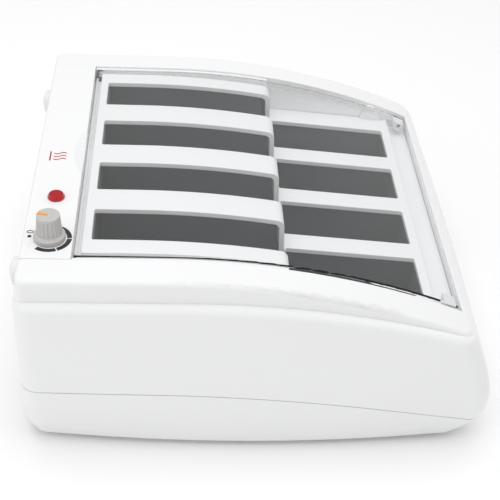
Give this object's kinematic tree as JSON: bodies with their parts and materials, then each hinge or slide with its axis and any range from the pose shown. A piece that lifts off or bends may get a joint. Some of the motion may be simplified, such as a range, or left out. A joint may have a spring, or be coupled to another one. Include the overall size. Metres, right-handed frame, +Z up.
{
  "type": "paraffin warmer",
  "caption": "Countertop warmer with a clear arched lid hinged at the back over a stepped deck with long slots, and a rotary heat control with a lamp on its front strip.",
  "frame": {"origin": "middle of the footprint, on the surface that the feet stand on", "axes": "+Z up; -Y is the front, with the control strip; +Y is the hinge side; +X is the operator's right"},
  "size_m": [0.2974, 0.3229, 0.1637],
  "materials": {
    "white_shell": "satin moulded white with a very fine grain",
    "clear_acrylic": "clear polished sheet",
    "hinge_grey": "light grey moulded plastic",
    "steel": "plain zinc-plated or turned steel",
    "soft_black": "matt moulded rubber",
    "soft_white": "matt white rubber",
    "dark_coating": "dark non-stick coating with a soft sheen",
    "mat_silicone": "orange-red silicone",
    "glass_wool": "needled glass fibre felt",
    "bright_sheet": "bare mill finish",
    "knob_grey": "grey moulded plastic",
    "pointer_orange": "orange insert",
    "lens_red": "deep red moulded lens",
    "black_plastic": "black moulded plastic",
    "board_green": "green solder mask",
    "capacitor_sleeve": "dark blue sleeve",
    "film_box": "yellow box",
    "resistor_body": "beige lacquer",
    "fuse_glass": "clear tube",
    "brass": "bright brass",
    "bright_steel": "tinned sheet",
    "cream_plastic": "cream moulded plastic",
    "wire_brown": "brown insulation",
    "wire_red": "red silicone insulation",
    "wire_grey": "grey insulation"
  },
  "bodies": {
    "body": {"base_pan": "white_shell", "board_capacitors": "capacitor_sleeve", "board_connectors": "cream_plastic", "board_fuse": "fuse_glass", "board_resistors": "resistor_body", "board_screws": "steel", "board_triac": "black_plastic", "circuit_board": "board_green", "control_nut": "steel", "control_washer": "steel", "control_wires": "wire_grey", "deck_screws": "steel", "foot_front_left": "soft_black", "foot_front_right": "soft_black", "foot_rear_left": "soft_black", "foot_rear_right": "soft_black", "front_bumper_left": "soft_white", "front_bumper_right": "soft_white", "fuse_clips": "brass", "heat_shield": "bright_sheet", "heated_well": "dark_coating", "heater_wires": "wire_red", "heating_mat": "mat_silicone", "housing_screws": "steel", "indicator_body": "black_plastic", "indicator_lens": "lens_red", "indicator_nut": "black_plastic", "inlet_pins": "brass", "inlet_screws": "steel", "inlet_wires": "wire_brown", "insulation_blanket": "glass_wool", "lamp_wires": "wire_grey", "lid_buffer_left": "soft_black", "lid_buffer_right": "soft_black", "lid_hinge_pin_left": "steel", "lid_hinge_pin_right": "steel", "mains_wires": "wire_brown", "power_inlet": "black_plastic", "sensor_clips": "bright_steel", "slotted_deck": "white_shell", "suppression_capacitor": "film_box", "temperature_control": "steel", "temperature_probe": "black_plastic", "terminal_block": "cream_plastic", "thermal_cutout": "black_plastic", "thermal_fuse": "bright_steel", "triac_heat_sink": "bright_sheet", "upper_housing": "white_shell", "well_divider_1": "dark_coating", "well_divider_2": "dark_coating", "well_divider_3": "dark_coating", "well_screws": "steel", "well_standoffs": "steel"},
    "lid": {"clear_lid": "clear_acrylic", "lid_hinge_block_left": "hinge_grey", "lid_hinge_block_right": "hinge_grey"},
    "knob": {"control_knob": "knob_grey", "knob_pointer": "pointer_orange", "control_shaft": "steel"}
  },
  "joints": [
    {"name": "lid_hinge", "type": "hinge", "parent": "body", "child": "lid", "pos_m": [0, 0.123, 0.104], "axis": [-1, 0, 0], "range_deg": [0, 100]},
    {"name": "knob_turn", "type": "hinge", "parent": "body", "child": "knob", "pos_m": [0.1006, -0.1354, 0.146], "axis": [0, 0, -1], "range_deg": [0, 285]}
  ]
}
